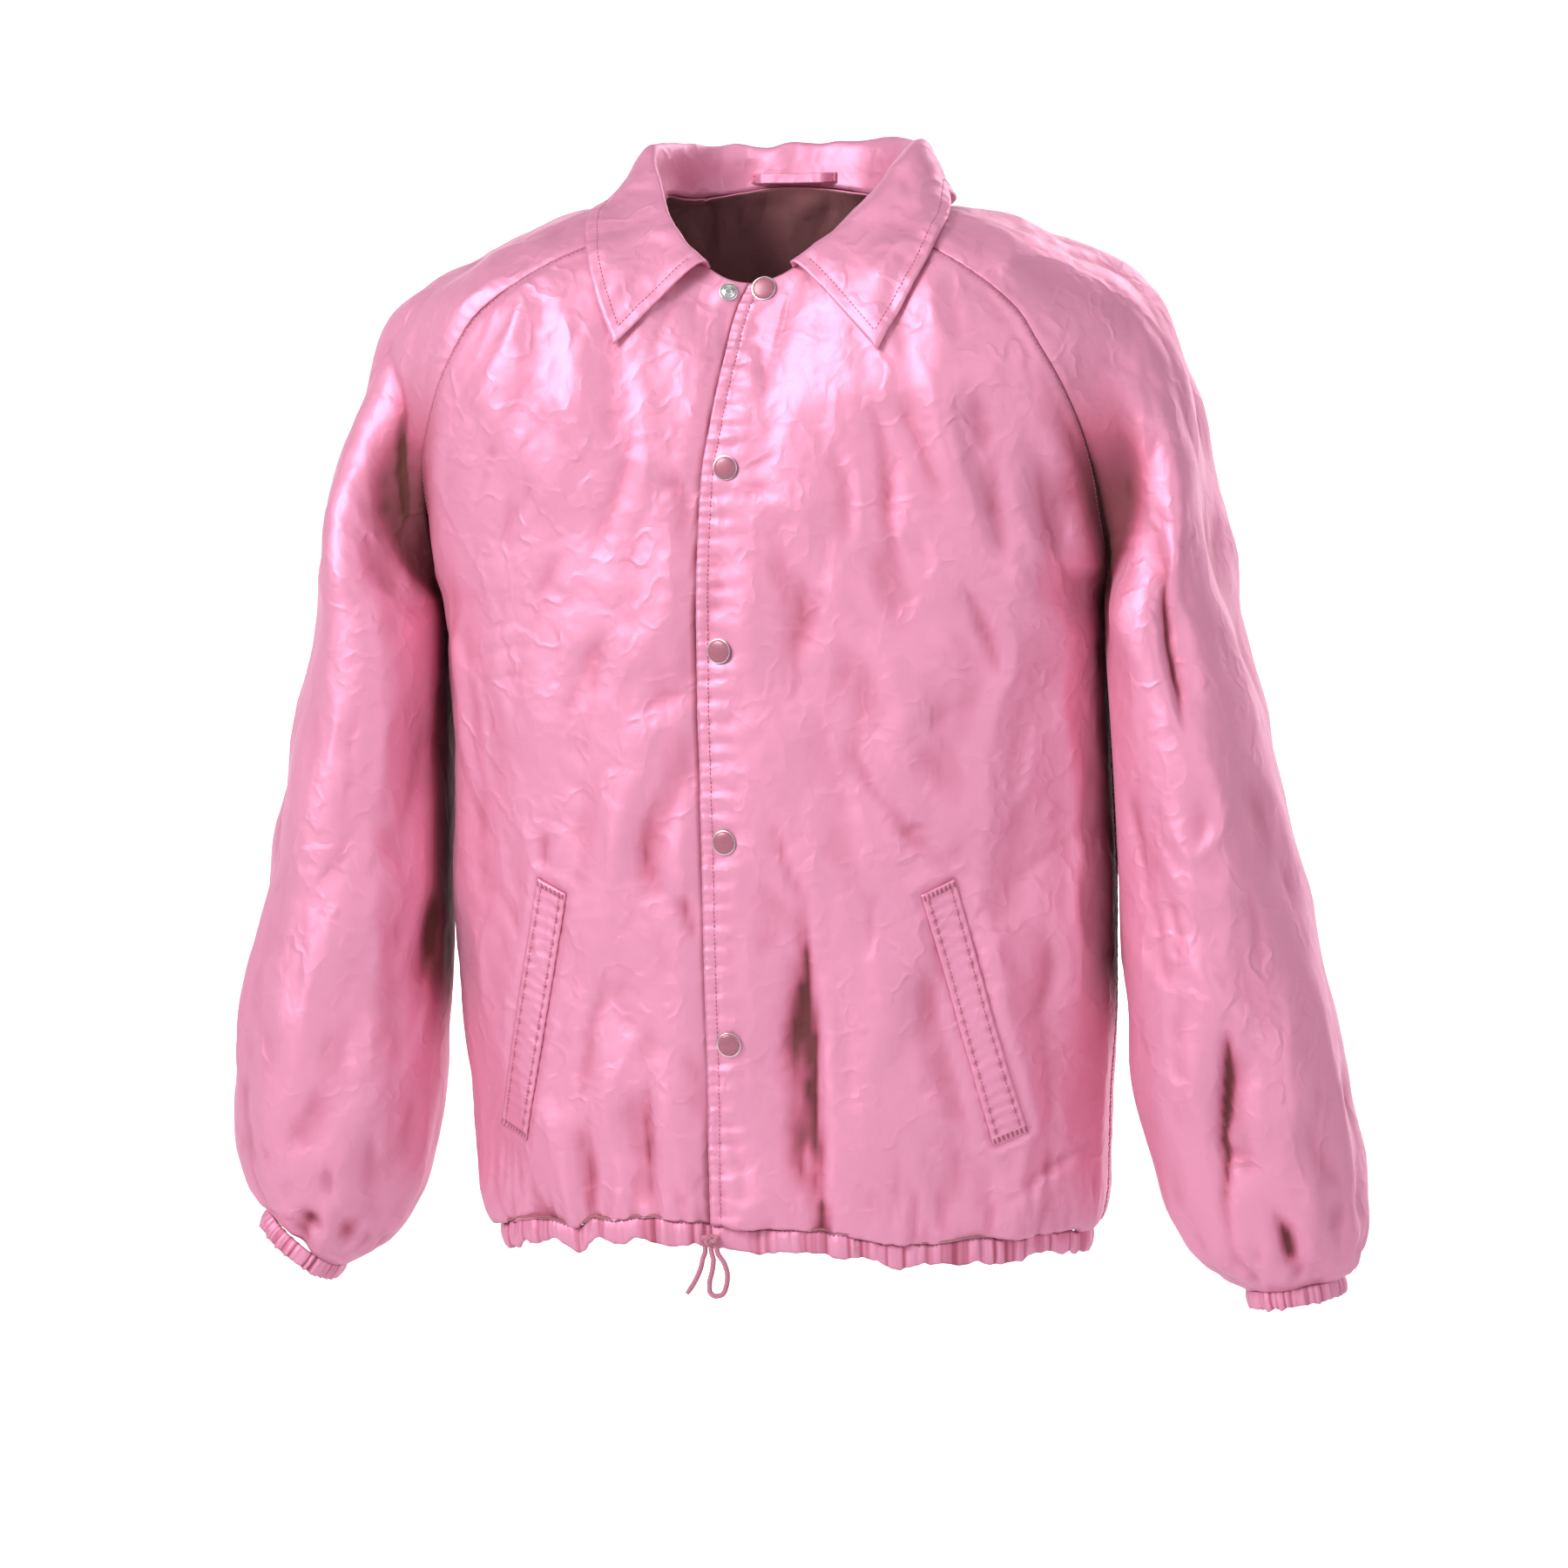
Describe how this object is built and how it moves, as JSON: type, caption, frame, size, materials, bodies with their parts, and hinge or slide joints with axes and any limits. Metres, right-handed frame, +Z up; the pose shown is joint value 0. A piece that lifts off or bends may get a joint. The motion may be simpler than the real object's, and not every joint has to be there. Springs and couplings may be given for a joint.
{
  "type": "coach jacket",
  "caption": "Snap-front jacket with raglan sleeves, pointed collar, slanted welt pockets, drawcord hem and gathered cuffs, filled out as worn with neck, hem and cuffs open.",
  "frame": {"origin": "middle of the neck opening at the height of the shoulder neck points, where the wearer's shoulders carry the jacket", "axes": "+Z up as worn, the front faces -Y and the wearer's left side is +X"},
  "size_m": [0.8015, 0.2614, 0.8051],
  "materials": {
    "satin_nylon": "satin-faced nylon shell cloth, shiny",
    "knitted_cord": "knitted cord, matt",
    "snap_enamel": "enamelled snap cap, satin",
    "snap_steel": "plated snap stud, polished"
  },
  "bodies": {
    "root": {"front_left": "satin_nylon", "front_right": "satin_nylon", "back": "satin_nylon", "sleeve_left": "satin_nylon", "sleeve_right": "satin_nylon", "collar": "satin_nylon", "hem_casing": "satin_nylon", "cuff_left": "satin_nylon", "cuff_right": "satin_nylon", "pocket_welt_left": "satin_nylon", "pocket_welt_right": "satin_nylon", "hang_loop": "satin_nylon", "drawcord_knot": "knitted_cord", "drawcord_tail": "knitted_cord", "drawcord_loop": "knitted_cord", "snap_cap_0": "snap_enamel", "snap_stud_0": "snap_steel", "snap_cap_1": "snap_enamel", "snap_stud_1": "snap_steel", "snap_cap_2": "snap_enamel", "snap_stud_2": "snap_steel", "snap_cap_3": "snap_enamel", "snap_stud_3": "snap_steel", "snap_cap_4": "snap_enamel", "snap_stud_4": "snap_steel"}
  },
  "joints": []
}
